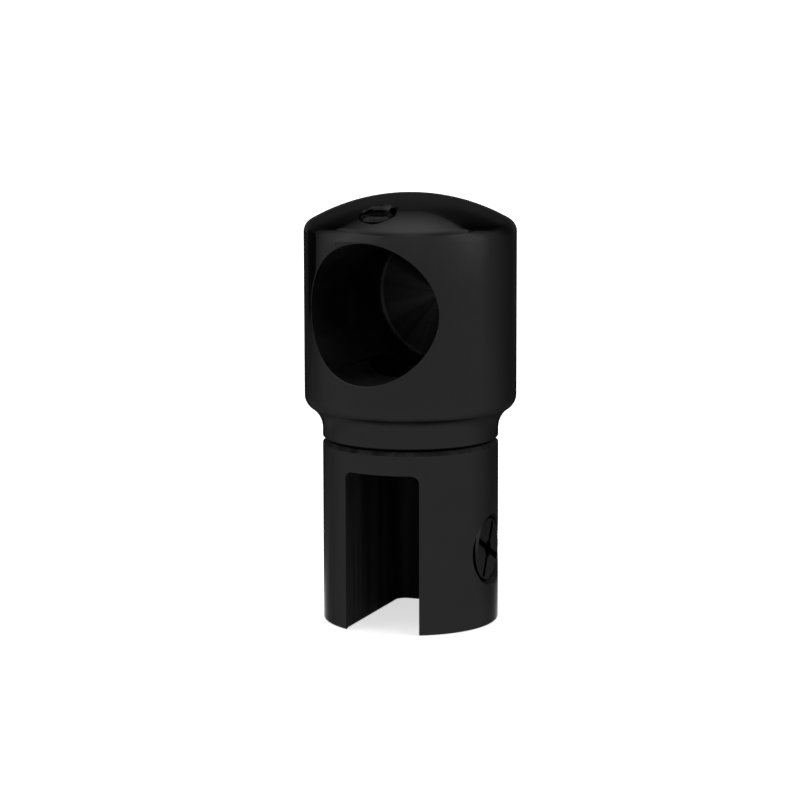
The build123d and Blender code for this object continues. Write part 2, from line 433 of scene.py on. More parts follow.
def on_pocket_mouth(point):
    """True on the pocket's edge in the jaw's wall."""
    outside = abs(math.hypot(point.x, point.y) - jaw_radius) < near
    in_front = point.y < 0 and abs(point.x) < pocket_half + near
    return outside and in_front and jaw_foot_break - near < point.z < pocket_height + near


round_edges(jaw_body, on_clamp_hole_rim, tapped_hole_chamfer, 1)
round_edges(jaw_body, on_pocket_foot, pocket_edge_break, 1)
round_edges(jaw_body, on_pocket_mouth, mouth_edge_break, 2)

# %% [markdown]
# A screw thread is a ridge that climbs as it goes round. One tooth of its profile is spun several turns
# while it rises by one pitch each turn. Each turn's top edge then lies on the next turn's bottom edge,
# and merging the doubles makes one closed skin. Two flat cuts square off its ends. The screw's own
# turned blank, with its chamfers, is kept only where this threaded bar is, so the thread runs out into
# the chamfers as it does on a real screw.

# %% Threads, and the sockets that a key turns
thread_over = 0.1


def threaded_bar(radius, pitch, depth, low, high, steps=64):
    """A bar along Z between two heights with a right-hand thread on its side, all in millimetres."""
    turns = math.ceil((high - low) / pitch) + 2
    start = low - pitch
    crest = pitch / 8
    root = pitch / 4
    flank = (pitch - crest - root) / 2
    tooth = Outline(radius - depth, start)
    tooth.line(radius - depth, start + root)
    tooth.line(radius, start + root + flank)
    tooth.line(radius, start + root + flank + crest)
    tooth.line(radius - depth, start + pitch)
    bm = tooth.bm
    climb = (0, 0, pitch * MM / steps)
    spin_round(bm, math.tau * turns, steps * turns, dvec=climb, space=Matrix.Identity(4))
    bmesh.ops.remove_doubles(bm, verts=bm.verts, dist=WELD)
    for height, outwards in ((low, -1), (high, 1)):
        bmesh.ops.bisect_plane(
            bm,
            geom=bm.verts[:] + bm.edges[:] + bm.faces[:],
            plane_co=(0, 0, height * MM),
            plane_no=(0, 0, outwards),
            clear_outer=True,
        )
    bmesh.ops.holes_fill(bm, edges=[edge for edge in bm.edges if edge.is_boundary], sides=0)
    bmesh.ops.recalc_face_normals(bm, faces=bm.faces)
    return bm


def threaded(name, blank, steps, radius, pitch, depth, low, high):
    """A screw's turned blank, kept only where a threaded bar is that runs a little past it."""
    screw = new_object(name, blank.turned(steps))
    thread = threaded_bar(radius, pitch, depth, low - thread_over, high + thread_over)
    return cut(screw, new_object("thread", thread), "INTERSECT")


def hex_socket(across_flats, top, depth, drill_depth):
    """A six-sided socket sunk from a height, with the cone that the drill left at its bottom."""
    bm = bmesh.new()
    corner_radius = across_flats / 2 / math.cos(math.radians(30))
    bmesh.ops.create_circle(bm, cap_ends=True, segments=6, radius=corner_radius * MM)
    bmesh.ops.translate(bm, vec=(0, 0, (top + over_cut) * MM), verts=bm.verts)
    walls = bmesh.ops.extrude_face_region(bm, geom=bm.faces[:])
    lower = [part for part in walls["geom"] if isinstance(part, bmesh.types.BMVert)]
    bmesh.ops.translate(bm, vec=(0, 0, -(over_cut + depth) * MM), verts=lower)
    bottom = [face for face in bm.faces if all(vert in lower for vert in face.verts)]
    bmesh.ops.poke(bm, faces=bottom, offset=0)
    bmesh.ops.recalc_face_normals(bm, faces=bm.faces)
    middle = min(bm.verts, key=lambda vert: (round(vert.co.z, 6), vert.co.xy.length))
    middle.co.z -= drill_depth * MM
    return bm


# %% [markdown]
# The bar set screw in the crown and the pivot screw both have a hexagon socket. The set screw is a stub
# without a head, with a short plain collar at its face, since the crown's slope leaves that end in view.
# The pivot screw holds the head on the jaw: it has a cylinder head that lies hidden in the recess, a
# plain neck that the head turns on, and a thread only in the jaw's roof.

# %% Bar set screw
set_thread_pitch = 0.8
set_thread_depth = 0.42
set_tip_chamfer = 0.8
set_face_chamfer = 0.25
set_socket_width = 2.5
set_socket_depth = 1.5
drill_rise = 0.35
set_collar = 1.1
blank_slack = 0.06

set_thread_top = set_high[2] - set_collar
set_blank = (
    Outline(0, set_low[2])
    .line(set_screw_radius - set_tip_chamfer, set_low[2])
    .line(set_screw_radius + blank_slack, set_low[2] + set_tip_chamfer + blank_slack)
    .line(set_screw_radius + blank_slack, set_thread_top)
    .line(0, set_thread_top)
)
set_thread = (set_screw_radius, set_thread_pitch, set_thread_depth, set_low[2], set_thread_top)
bar_set_screw = threaded("bar_set_screw_threaded", set_blank, SMALL_STEPS, *set_thread)
set_face = (
    Outline(0, set_thread_top - thread_over)
    .line(set_screw_radius - set_thread_depth, set_thread_top - thread_over)
    .line(set_screw_radius, set_thread_top + set_thread_depth)
    .line(set_screw_radius, set_high[2] - set_face_chamfer)
    .line(set_screw_radius - set_face_chamfer, set_high[2])
    .line(0, set_high[2])
)
cut(bar_set_screw, new_object("set_face", set_face.turned(SMALL_STEPS)), "UNION")
set_socket = hex_socket(set_socket_width, set_high[2], set_socket_depth, drill_rise)
cut(bar_set_screw, new_object("set_socket", set_socket))
bar_set_screw.data.transform(set_place @ Matrix.Rotation(head_turn, 4, "Z"))
print("set screw", set_low, set_high, len(bar_set_screw.data.polygons), "faces")

# %% [markdown]
# The real pivot screw is turned in one piece. Here its threaded end and its neck with the head are two
# turned shapes, joined by a Boolean union at the height of the jaw's top, where the head hides the seam.

# %% Pivot screw
pivot_seat = washer_high[2]
pivot_head_chamfer = 0.4
pivot_tip_chamfer = 0.6
pivot_socket_width = 5.0
pivot_socket_depth = 2.4
pivot_thread_pitch = 1.0
pivot_thread_depth = 0.54
pivot_head_radius = pivot_high[0]

pivot_blank = (
    Outline(0, pivot_low[2])
    .line(pivot_radius - pivot_tip_chamfer, pivot_low[2])
    .line(pivot_radius + blank_slack, pivot_low[2] + pivot_tip_chamfer + blank_slack)
    .line(pivot_radius + blank_slack, jaw_height)
    .line(0, jaw_height)
)
pivot_thread = (pivot_radius, pivot_thread_pitch, pivot_thread_depth, pivot_low[2], jaw_height)
pivot_screw = threaded("pivot_screw_threaded", pivot_blank, SMALL_STEPS, *pivot_thread)
pivot_head = (
    Outline(0, jaw_height)
    .line(pivot_radius, jaw_height)
    .line(pivot_radius, pivot_seat)
    .line(pivot_head_radius, pivot_seat)
    .line(pivot_head_radius, pivot_high[2] - pivot_head_chamfer)
    .line(pivot_head_radius - pivot_head_chamfer, pivot_high[2])
    .line(0, pivot_high[2])
)
cut(pivot_screw, new_object("pivot_head", pivot_head.turned(SMALL_STEPS)), "UNION")
pivot_socket = hex_socket(pivot_socket_width, pivot_high[2], pivot_socket_depth, drill_rise)
cut(pivot_screw, new_object("pivot_socket", pivot_socket))
print("pivot screw", pivot_low, pivot_high, len(pivot_screw.data.polygons), "faces")

# %% [markdown]
# The clamp screw has no head either. Its face carries a cross with long narrow arms and a drilled
# centre, a little deeper than the arms. At the other end a small hole takes the pressure pad's stem, so
# the pad need not turn with the screw while it closes on the glass.

# %% Clamp screw
clamp_thread_pitch = 1.5
clamp_thread_depth = 0.8
clamp_rim_chamfer = 0.7
clamp_tip_chamfer = 0.6
cross_width = 0.9
cross_reach = 4.1
cross_depth = 1.2
cross_turn = 27.0
cross_centre_radius = 1.2
cross_centre_depth = 1.6

pad_low, pad_high = box_mm("pressure_pad")
pad_stem_radius = 1.5
pad_thickness = 1.6
screw_length = screw_high[0] - screw_low[0]
stem_hole_radius = pad_stem_radius + running_clearance
stem_hole_depth = pad_high[0] + running_clearance - screw_low[0]

clamp_blank = (
    Outline(0, stem_hole_depth)
    .line(stem_hole_radius, stem_hole_depth)
    .line(stem_hole_radius, 0)
    .line(clamp_screw_radius - clamp_tip_chamfer, 0)
    .line(clamp_screw_radius + blank_slack, clamp_tip_chamfer + blank_slack)
    .line(clamp_screw_radius + blank_slack, screw_length - clamp_rim_chamfer - blank_slack)
    .line(clamp_screw_radius - clamp_rim_chamfer, screw_length)
    .line(0, screw_length)
)
clamp_thread = (clamp_screw_radius, clamp_thread_pitch, clamp_thread_depth, 0, screw_length)
clamp_screw = threaded("clamp_screw_threaded", clamp_blank, MEDIUM_STEPS, *clamp_thread)
for quarter in (0, 90):
    arm = block(
        (-cross_reach, -cross_width / 2, screw_length - cross_depth),
        (cross_reach, cross_width / 2, screw_length + over_cut),
    )
    arm_turn = Matrix.Rotation(math.radians(quarter - cross_turn), 4, "Z")
    cut(clamp_screw, new_object("cross_arm", arm, arm_turn))
centre_drill = (
    Outline(0, screw_length - cross_centre_depth - drill_rise)
    .line(cross_centre_radius, screw_length - cross_centre_depth)
    .line(cross_centre_radius, screw_length + over_cut)
    .line(0, screw_length + over_cut)
)
cut(clamp_screw, new_object("centre_drill", centre_drill.turned(SMALL_STEPS // 2)))
along_x = Matrix(((0, 0, 1, 0), (1, 0, 0, 0), (0, 1, 0, 0), (0, 0, 0, 1)))
clamp_screw_place = Matrix.Translation(Vector((screw_low[0], 0, clamp_screw_centre.z)) * MM) @ along_x
clamp_screw.data.transform(clamp_screw_place)
print("clamp screw", screw_low, screw_high, len(clamp_screw.data.polygons), "faces")

# %% [markdown]
# The pad is soft, so that the screw can't chip the glass. It is a disc with a stem that plugs into the
# screw's end: one turned outline with a rounded front edge, laid along the screw's axis.

# %% Pressure pad
pad_radius = (pad_high[1] - pad_low[1]) / 2
pad_edge_break = 0.3
pad_outline = (
    Outline(0, 0)
    .line(pad_radius - pad_edge_break, 0)
    .arc(pad_radius - pad_edge_break, pad_edge_break, -90, 6)
    .line(pad_radius, pad_thickness)
    .line(pad_stem_radius, pad_thickness)
    .line(pad_stem_radius, pad_high[0] - pad_low[0])
    .line(0, pad_high[0] - pad_low[0])
)
pad_place = Matrix.Translation(Vector((pad_low[0], 0, clamp_screw_centre.z)) * MM) @ along_x
pressure_pad = new_object("pressure_pad_turned", pad_outline.turned(SMALL_STEPS), pad_place)
print("pressure pad", pad_low, pad_high)

# %% [markdown]
# Two rings lie between the moving parts. The split spring washer under the pivot screw's head keeps the
# swivel from working loose. The thin slip ring lets the head turn on the jaw without the two black
# coats rubbing each other off. Each ring is a closed rectangle spun about the axis. For the split one
# the spin stops short of a full turn, and its two end faces are filled in.

# %% Washers
spring_split = 0.8
spring_washer_width = 1.75
ring_edge_break = 0.08
spring_steps = 126


def ring_profile(inner, outer, low, high):
    """A closed rectangular profile with slightly broken corners, in millimetres."""
    profile = (
        Outline(inner + ring_edge_break, low)
        .line(outer - ring_edge_break, low)
        .line(outer, low + ring_edge_break)
        .line(outer, high - ring_edge_break)
        .line(outer - ring_edge_break, high)
        .line(inner + ring_edge_break, high)
        .line(inner, high - ring_edge_break)
        .line(inner, low + ring_edge_break)
        .line(inner + ring_edge_break, low)
    )
    bmesh.ops.remove_doubles(profile.bm, verts=profile.bm.verts, dist=WELD)
    return profile


spring_outer = -washer_low[0]
spring_inner = spring_outer - spring_washer_width
spring_half_gap = math.asin(spring_split / 2 / spring_outer)
spring_ring = ring_profile(spring_inner, spring_outer, washer_low[2], washer_high[2]).bm
half_gap_turn = Matrix.Rotation(spring_half_gap, 3, "Z")
bmesh.ops.rotate(spring_ring, cent=(0, 0, 0), matrix=half_gap_turn, verts=spring_ring.verts)
spin_round(spring_ring, math.tau - 2 * spring_half_gap, spring_steps)
bmesh.ops.holes_fill(spring_ring, edges=[edge for edge in spring_ring.edges if edge.is_boundary], sides=0)
bmesh.ops.recalc_face_normals(spring_ring, faces=spring_ring.faces)
spring_washer = new_object("spring_washer_split", spring_ring)

slip_low, slip_high = box_mm("swivel_washer")
slip_ring = ring_profile(pivot_hole_radius, slip_high[0], slip_low[2], slip_high[2])
swivel_washer = new_object("swivel_washer_ring", slip_ring.turned(LARGE_STEPS))
print("spring washer", washer_low, washer_high, "slip ring", slip_low, slip_high)

# %% [markdown]
# Each new piece takes the place of its CAD piece, so it moves with the same body. Faces are shaded
# smooth, but an edge where the surface turns sharply stays crisp. The Weighted Normal modifier then lets
# the big faces decide how light runs up to each small broken edge.

# %% Hand the pieces over to the frame
made_pieces = {
    "bar_head": bar_head,
    "jaw_body": jaw_body,
    "bar_set_screw": bar_set_screw,
    "clamp_screw": clamp_screw,
    "pivot_screw": pivot_screw,
    "spring_washer": spring_washer,
    "swivel_washer": swivel_washer,
    "pressure_pad": pressure_pad,
}
body_of_node = {
    node: body for body, nodes in frame["record"]["behaviour"]["bodies"].items() for node in nodes
}
sharp_from = math.radians(24)
big_face_weight = 60
for node, piece in made_pieces.items():
    piece.data.shade_smooth()
    piece.data.set_sharp_from_angle(angle=sharp_from)
    weighted = piece.modifiers.new("even_shading", "WEIGHTED_NORMAL")
    weighted.keep_sharp = True
    weighted.weight = big_face_weight
    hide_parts(node)
    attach(piece, body_of_node[node])
    print(node, "is now drawn by", piece.name)

# %% [markdown]
# Black plating over polished metal behaves like a very dark mirror: it has no colour of its own and
# shows the room at about a fiftieth of its brightness. A Principled shader with Metallic at 1 and a dark
# base colour does that. A real mirror of bare metal gets brighter towards its rim, but this plating
# hardly does, so the Specular Tint, which colours a metal's grazing reflection, is dark too. Roughness
# and bump come from noise on Object coordinates, so the surface keeps the faint unevenness of plating.

# %% Finish helpers
class Finish:
    """A procedural material whose patterns read the piece's Object coordinates."""

    def __init__(self, name, colour, metallic, grazing=1.0):
        self.material = bpy.data.materials.new(name)
        self.material.use_nodes = True
        self.nodes = self.material.node_tree.nodes
        self.links = self.material.node_tree.links
        self.shader = self.nodes["Principled BSDF"]
        self.shader.inputs["Base Color"].default_value = (*colour, 1)
        self.shader.inputs["Metallic"].default_value = metallic
        self.shader.inputs["Specular Tint"].default_value = (grazing, grazing, grazing, 1)
        self.place = self.nodes.new("ShaderNodeTexCoord").outputs["Object"]

    def feed(self, socket, value):
        """Links an input to another socket, or sets its value."""
        if isinstance(value, bpy.types.NodeSocket):
            self.links.new(value, socket)
        else:
            socket.default_value = value

    def node(self, kind, settings=None, **inputs):
        """Adds a node. Each input is given as a socket or as a value."""
        made = self.nodes.new(kind)
        for name, value in (settings or {}).items():
            setattr(made, name, value)
        for name, value in inputs.items():
            self.feed(made.inputs[name.replace("_", " ")], value)
        return made

    def combine(self, operation, first, second=0.0):
        """The result of a Math node on two factors."""
        made = self.node("ShaderNodeMath", {"operation": operation})
        self.feed(made.inputs[0], first)
        self.feed(made.inputs[1], second)
        return made.outputs[0]

    def noise(self, grain_mm, detail=2.0, vector=None):
        """Noise whose grains are about as large as given in millimetres."""
        scale = 1 / (grain_mm * MM)
        made = self.node("ShaderNodeTexNoise", Vector=vector or self.place, Scale=scale, Detail=detail)
        return made.outputs["Fac"]

    def between(self, factor, low, high, start=0.3, end=0.7):
        """Spreads a factor's middle range between two values."""
        limits = {"From_Min": start, "From_Max": end, "To_Min": low, "To_Max": high}
        return self.node("ShaderNodeMapRange", Value=factor, **limits).outputs["Result"]

    def colours(self, factor, dark, light):
        """Runs the base colour between two colours."""
        ends = {"A": (*dark, 1), "B": (*light, 1)}
        ramp = self.node("ShaderNodeMix", {"data_type": "RGBA"}, Factor=factor, **ends)
        self.links.new(ramp.outputs["Result"], self.shader.inputs["Base Color"])

    def roughness(self, factor, low, high):
        """Runs the roughness between two values."""
        self.links.new(self.between(factor, low, high), self.shader.inputs["Roughness"])

    def bump(self, height, depth_mm, strength=1.0):
        """Raises the surface by a height pattern, on top of the bumps already there."""
        made = self.node("ShaderNodeBump", Height=height, Distance=depth_mm * MM, Strength=strength)
        earlier = self.shader.inputs["Normal"].links
        if earlier:
            self.links.new(earlier[0].from_socket, made.inputs["Normal"])
        self.links.new(made.outputs["Normal"], self.shader.inputs["Normal"])

    def glow(self, level):
        """Takes the gloss away and gives off white light at a level."""
        self.shader.inputs["Specular IOR Level"].default_value = 0.0
        self.shader.inputs["Emission Color"].default_value = (1, 1, 1, 1)
        self.feed(self.shader.inputs["Emission Strength"], level)


# %% Black plating
plating = Finish("black_plating", (0.021, 0.021, 0.022), 1.0, grazing=0.5)
cloudy = plating.noise(5.0, detail=3.0)
plating.colours(cloudy, (0.0200, 0.0200, 0.0205), (0.0225, 0.0225, 0.0230))
plating.bump(plating.noise(0.12, detail=3.0), 0.0006)

# %% [markdown]
# A polishing wheel is too wide to follow the hollow cove and the groove over the jaw, so the metal stays
# duller there, and their dark lines turn soft and grey. The height of a point, taken from its Object
# coordinates, tells how near it is to each of them, and the nearer it is, the rougher the plating gets.

# %% Duller plating in the cove and the groove
height = plating.node("ShaderNodeSeparateXYZ", Vector=plating.place).outputs["Z"]
dull_roughness = 0.36
groove_below_neck = 0.3


def near_height(level_mm, full_mm, gone_mm):
    """A factor that is 1 at a height, up to one distance, and fades to 0 at another."""
    away = plating.combine("ABSOLUTE", plating.combine("SUBTRACT", height, level_mm * MM))
    return plating.between(away, 1.0, 0.0, full_mm * MM, gone_mm * MM)


in_cove = near_height(cove_foot + cove_radius * math.sin(bend), 0.5, 1.7)
in_groove = near_height(neck_foot - groove_below_neck, 0.4, 0.9)
unpolished = plating.combine("MAXIMUM", in_cove, in_groove)
polish = plating.between(plating.noise(1.4, detail=4.0), 0.07, 0.11)
dull_blend = plating.node("ShaderNodeMix", Factor=unpolished, A=polish, B=dull_roughness)
plating.feed(plating.shader.inputs["Roughness"], dull_blend.outputs["Result"])

# %% [markdown]
# The glass pocket was milled and then plated without polishing, since the glass and its lining hide it.
# Its walls carry upright streaks from the cutter. Noise that is squeezed along X and Y and stretched
# along Z draws such streaks, and they change both how dark and how dull the wall looks. Rough plating
# also scatters some light like a dull paint, so Metallic is only part of the way up here.

# %% Milled surface
milled = Finish("milled_and_plated", (0.012, 0.012, 0.013), 0.2, grazing=0.5)
milled.shader.inputs["Specular IOR Level"].default_value = 0.0
stretched = milled.node("ShaderNodeMapping", Vector=milled.place, Scale=(1, 1, 0.04)).outputs["Vector"]
streaks = milled.noise(2.2, detail=3.0, vector=stretched)
milled.colours(milled.between(streaks, 0, 1), (0.009, 0.009, 0.010), (0.030, 0.030, 0.031))
milled.roughness(milled.noise(1.6, detail=3.0, vector=stretched), 0.58, 0.72)
milled.bump(milled.noise(0.25, detail=2.0, vector=stretched), 0.002)

# %% [markdown]
# Inside the bore the plating is thinner and the boring tool's path shows: fine rings on the floor, one
# for each turn that the tool made while it was fed across. A Wave texture in rings gives them once a
# Mapping node has laid its axis along the bore's. Rings that fine also spread each highlight outwards
# from their centre into a fan. The Anisotropic input does that, with a Tangent that points outwards. On
# top of that, noise that reads only the direction from the centre paints some wedges of the fan lighter
# and others darker in the base colour: a painted highlight. The base colour is also darker than the
# outside plating's, which paints part of the shade inside the bore.

# %% Bored surface
# Painted shade: the base colour here is darker than the outside plating's.
bored = Finish("bored_and_plated", (0.016, 0.016, 0.017), 0.9, grazing=0.5)
bored.shader.inputs["Specular IOR Level"].default_value = 0.0
bore_mapping = bored.node(
    "ShaderNodeMapping",
    {"vector_type": "TEXTURE"},
    Vector=bored.place,
    Location=bore_start * MM,
    Rotation=bore_outwards.to_track_quat("Z", "Y").to_euler(),
)
ring_pitch = 0.32
rings = bored.node(
    "ShaderNodeTexWave",
    {"wave_type": "RINGS", "rings_direction": "Z", "wave_profile": "SIN"},
    Vector=bore_mapping.outputs["Vector"],
    Scale=math.tau / 20 / (ring_pitch * MM),
    Distortion=0.6,
    Detail=2.0,
).outputs["Fac"]
outwards = bored.node("ShaderNodeVectorMath", {"operation": "SUBTRACT"}, Vector=bored.place)
outwards.inputs[1].default_value = bore_start * MM
bored.links.new(outwards.outputs["Vector"], bored.shader.inputs["Tangent"])
bored.shader.inputs["Anisotropic"].default_value = 0.75
bored.roughness(bored.noise(0.9), 0.36, 0.44)
bored.bump(rings, 0.004)
# Painted highlight: noise by direction from the centre makes some wedges of the fan lighter in the base
# colour.
direction = bored.node("ShaderNodeVectorMath", {"operation": "NORMALIZE"}, Vector=outwards.outputs["Vector"])
painted_highlight_sectors = bored.node("ShaderNodeTexNoise", Vector=direction.outputs["Vector"], Scale=3.0, Detail=3.0)
painted_highlight_level = bored.between(painted_highlight_sectors.outputs["Fac"], 0, 1, 0.4, 0.6)
bored.colours(painted_highlight_level, (0.009, 0.009, 0.010), (0.023, 0.023, 0.024))

# %% [markdown]
# The screws are blackened in a hot bath, which leaves them duller than the plating. The spring ring is
# bare steel, the slip ring a hard plastic and the pad rubber. Each gets its own grain from small noises.

# %% Black oxide on the screws
oxide = Finish("black_oxide", (0.016, 0.016, 0.017), 1.0, grazing=0.5)
oxide.colours(oxide.noise(0.8, detail=4.0), (0.012, 0.012, 0.013), (0.021, 0.021, 0.021))
oxide.roughness(oxide.noise(0.4), 0.2, 0.34)
oxide.bump(oxide.noise(0.09, detail=3.0), 0.0003)

# %% Spring steel, slip ring and pad
spring_steel = Finish("spring_steel", (0.45, 0.45, 0.46), 1.0, grazing=0.9)
spring_steel.colours(spring_steel.noise(0.7), (0.36, 0.36, 0.38), (0.5, 0.5, 0.5))
spring_steel.roughness(spring_steel.noise(0.25), 0.25, 0.4)
spring_steel.bump(spring_steel.noise(0.15), 0.002)

slip_plastic = Finish("slip_ring_plastic", (0.02, 0.02, 0.02), 0.0)
slip_plastic.colours(slip_plastic.noise(0.5), (0.014, 0.014, 0.014), (0.024, 0.024, 0.024))
slip_plastic.roughness(slip_plastic.noise(0.3), 0.42, 0.55)
slip_plastic.bump(slip_plastic.noise(0.2), 0.002)

pad_rubber = Finish("pad_rubber", (0.02, 0.02, 0.02), 0.0)
pad_rubber.colours(pad_rubber.noise(0.6), (0.013, 0.013, 0.013), (0.022, 0.022, 0.022))
pad_rubber.roughness(pad_rubber.noise(0.3), 0.7, 0.85)
pad_rubber.bump(pad_rubber.noise(0.12, detail=4.0), 0.006)

# %% [markdown]
# A machined inside looks different from the polished outside of the same piece. The faces that lie in
# the bore and in the pocket are picked by their place and get a second material on the same mesh.

# %% Give each piece its finish
under_the_skin = 0.1
finish_of_piece = {
    bar_head: (plating, "black_coat"),
    jaw_body: (plating, "black_coat"),
    bar_set_screw: (oxide, "black_screw"),
    clamp_screw: (oxide, "black_screw"),
    pivot_screw: (oxide, "black_screw"),
    spring_washer: (spring_steel, "spring_steel"),
    swivel_washer: (slip_plastic, "slip_ring"),
    pressure_pad: (pad_rubber, "pad_rubber"),
}
for piece, (finish, slot) in finish_of_piece.items():
    piece.data.materials.clear()
    piece.data.materials.append(finish.material)


def finish_faces(piece, finish, chosen):
    """Gives the faces whose middle passes a test a finish of their own."""
    piece.data.materials.append(finish.material)
    number = len(piece.data.materials) - 1
    count = 0
    for face in piece.data.polygons:
        if chosen(face.center / MM):
            face.material_index = number
            count += 1
    print(piece.name, "has", count, "faces in", finish.material.name)


def in_bore(point):
    """True inside the bar's bore and in the recess at its lowest line."""
    beside_axis = from_axis(point, bore_centre, bore_outwards) < bore_radius + near
    before_floor = (point - bore_start).dot(bore_outwards) > -near
    in_recess = point.xy.length < recess_radius + near and neck_foot + near < point.z < bore_centre.z
    return (beside_axis and before_floor or in_recess) and point.xy.length < head_radius - under_the_skin


def in_pocket(point):
    """True on the pocket's walls and in the holes that open into it."""
    inside = point.xy.length < jaw_radius - under_the_skin
    return inside and pocket_edge_break < point.z < jaw_height - near


finish_faces(bar_head, bored, in_bore)
finish_faces(jaw_body, milled, in_pocket)

# %% [markdown]
# The camera stands where the photographer's did: nearly half a metre away, a little above the crown, with
# a long lens. Its numbers come from fitting the clamp's outlines to the picture.

# %% Camera
camera_data = bpy.data.cameras.new("photo_camera")
camera_data.lens = 147.03
camera_data.sensor_width = 36
camera_data.clip_start = 0.01
camera = bpy.data.objects.new("photo_camera", camera_data)
bpy.context.scene.collection.objects.link(camera)
camera_distance = 458.904
camera_height = 108.547
camera_round = math.radians(21.04)
look_down = math.radians(9.585)
look_aside = math.radians(-0.1514)
picture_roll = math.radians(-0.1254)
camera_place = Vector((math.sin(camera_round), -math.cos(camera_round), 0)) * camera_distance * MM
camera_place.z = camera_height * MM
heading = Matrix.Rotation(camera_round - look_aside, 4, "Z")
tilt = Matrix.Rotation(math.radians(90) - look_down, 4, "X")
roll = Matrix.Rotation(picture_roll, 4, "Z")
camera.matrix_world = Matrix.Translation(camera_place) @ heading @ tilt @ roll
bpy.context.scene.camera = camera
bpy.context.scene.view_settings.view_transform = "Standard"
print("camera at", [round(value, 4) for value in camera.matrix_world.translation])

# %% [markdown]
# A black mirror is lit by what it can see. The world and the table are plain white for the camera, and
# two kinds of helpers do the rest, as in a photographer's studio. Softboxes, which are Area lights, light
# the table and the dull surfaces, and mirror-like ones don't show them. What the plating reflects are
# cards: a panel overhead, a screen in front and the room behind. Only glossy rays see the cards, so they
# change neither the picture's background nor the table.

# %% World and table
world = bpy.data.worlds.new("white_room")
bpy.context.scene.world = world
world.use_nodes = True
room = world.node_tree
room_light = room.nodes["Background"]
room_light.inputs["Color"].default_value = (1, 1, 1, 1)
fill_level = 0.45


def seen_directly(tree):
    """A factor that is 1 for camera, glossy and transmission rays, and 0 for light that falls on things."""
    path = tree.nodes.new("ShaderNodeLightPath")
    factor = path.outputs["Is Camera Ray"]
    for kind in ("Is Glossy Ray", "Is Transmission Ray"):
        either = tree.nodes.new("ShaderNodeMath")
        either.operation = "MAXIMUM"
        tree.links.new(factor, either.inputs[0])
        tree.links.new(path.outputs[kind], either.inputs[1])
        factor = either.outputs[0]
    return factor


room_level = room.nodes.new("ShaderNodeMapRange")
room_level.inputs["To Min"].default_value = fill_level
room_level.inputs["To Max"].default_value = 1.0
room.links.new(seen_directly(room), room_level.inputs["Value"])
room.links.new(room_level.outputs["Result"], room_light.inputs["Strength"])

table_bm = bmesh.new()
bmesh.ops.create_circle(table_bm, cap_ends=True, segments=96, radius=4.0)
table = new_object("white_table", table_bm)
table_finish = Finish("white_table", (0.82, 0.82, 0.82), 0.0)
table_finish.shader.inputs["Roughness"].default_value = 0.9
paper_lift = 0.65
seen_table = seen_directly(table_finish.material.node_tree)
table_finish.glow(table_finish.combine("MULTIPLY", seen_table, paper_lift))
table.data.materials.append(table_finish.material)
print("the room fills shadows at", fill_level, "and the table is lifted by", paper_lift)

# %% [markdown]
# Each helper is placed as the camera sees it: so far to the right, so far behind and so high. A card's
# glow may change over its face, which is worked out by nodes from its Object coordinates.

# %% Studio helpers
to_camera = Vector((math.sin(camera_round), -math.cos(camera_round), 0))
to_right = Vector((math.cos(camera_round), math.sin(camera_round), 0))
studio_centre = Vector((0, 0, 0.04))
card_steps = 32


def studio_point(right, behind, up):
    """A point in metres, given from the clamp as the camera sees it."""
    return to_right * right - to_camera * behind + Vector((0, 0, up))


def softbox(name, place, width, height, brightness):
    """An Area light that faces the clamp, isn't reflected, and is so many times as bright as white."""
    data = bpy.data.lights.new(name, "AREA")
    data.shape = "RECTANGLE"
    data.size = width
    data.size_y = height
    data.energy = brightness * math.pi * width * height
    lamp = bpy.data.objects.new(name, data)
    bpy.context.scene.collection.objects.link(lamp)
    facing = (place - studio_centre).to_track_quat("Z", "Y").to_matrix().to_4x4()
    lamp.matrix_world = Matrix.Translation(place) @ facing
    lamp.visible_glossy = False


def reflected_only(name, bm, level):
    """A card that only glossy rays see. Its glow is a number, or a function of its finish."""
    made = new_object(name, bm)
    finish = Finish(name, (0, 0, 0), 0.0)
    finish.glow(level(finish) if callable(level) else level)
    made.data.materials.append(finish.material)
    made.visible_camera = False
    made.visible_diffuse = False
    made.visible_shadow = False


def turned_place(finish, angle):
    """A card's Object coordinates, turned about Z."""
    return finish.node("ShaderNodeMapping", Vector=finish.place, Rotation=(0, 0, angle)).outputs["Vector"]


def level_round(finish, stops):
    """A glow level that changes with the direction from the clamp, in degrees from the camera's side."""
    turned = turned_place(finish, math.radians(90) - camera_round)
    direction = finish.node("ShaderNodeTexGradient", {"gradient_type": "RADIAL"}, Vector=turned)
    ramp = finish.node("ShaderNodeValToRGB", Fac=direction.outputs["Fac"])
    elements = ramp.color_ramp.elements
    elements.remove(elements[-1])
    for degrees, level in stops:
        stop = elements.new(degrees / 360 + 0.5)
        stop.color = (level, level, level, 1)
    elements.remove(elements[0])
    return finish.node("ShaderNodeRGBToBW", Color=ramp.outputs["Color"]).outputs["Val"]


def curved_card(name, start_angle, end_angle, radius, foot, top, level):
    """A card bent round the clamp between two directions, in degrees from the camera's side."""
    bm = bmesh.new()
    first = math.radians(start_angle)
    foot_vert = bm.verts.new(studio_point(math.sin(first) * radius, -math.cos(first) * radius, foot))
    bmesh.ops.extrude_vert_indiv(bm, verts=[foot_vert])["verts"][0].co.z = top
    spin_round(bm, math.radians(end_angle - start_angle), card_steps)
    reflected_only(name, bm, level)


# %% [markdown]
# The overhead panel is the bright patch on the crown. It narrows to the back, which leaves the crown's
# dark wedges. The screen in front shows in what faces a little upwards. The room behind is dim, so the
# flanks fall off towards the outline.

# %% Softboxes and cards
softbox("overhead_box", studio_point(-0.1, 0.5, 1.06), 0.9, 0.9, 2.0)
softbox("right_box", studio_point(1.0, -0.35, 0.8), 1.1, 0.8, 1.9)
softbox("left_box", studio_point(-1.2, -0.2, 0.75), 0.8, 0.7, 1.8)
ceiling = 1.06
panel_back = 1.0


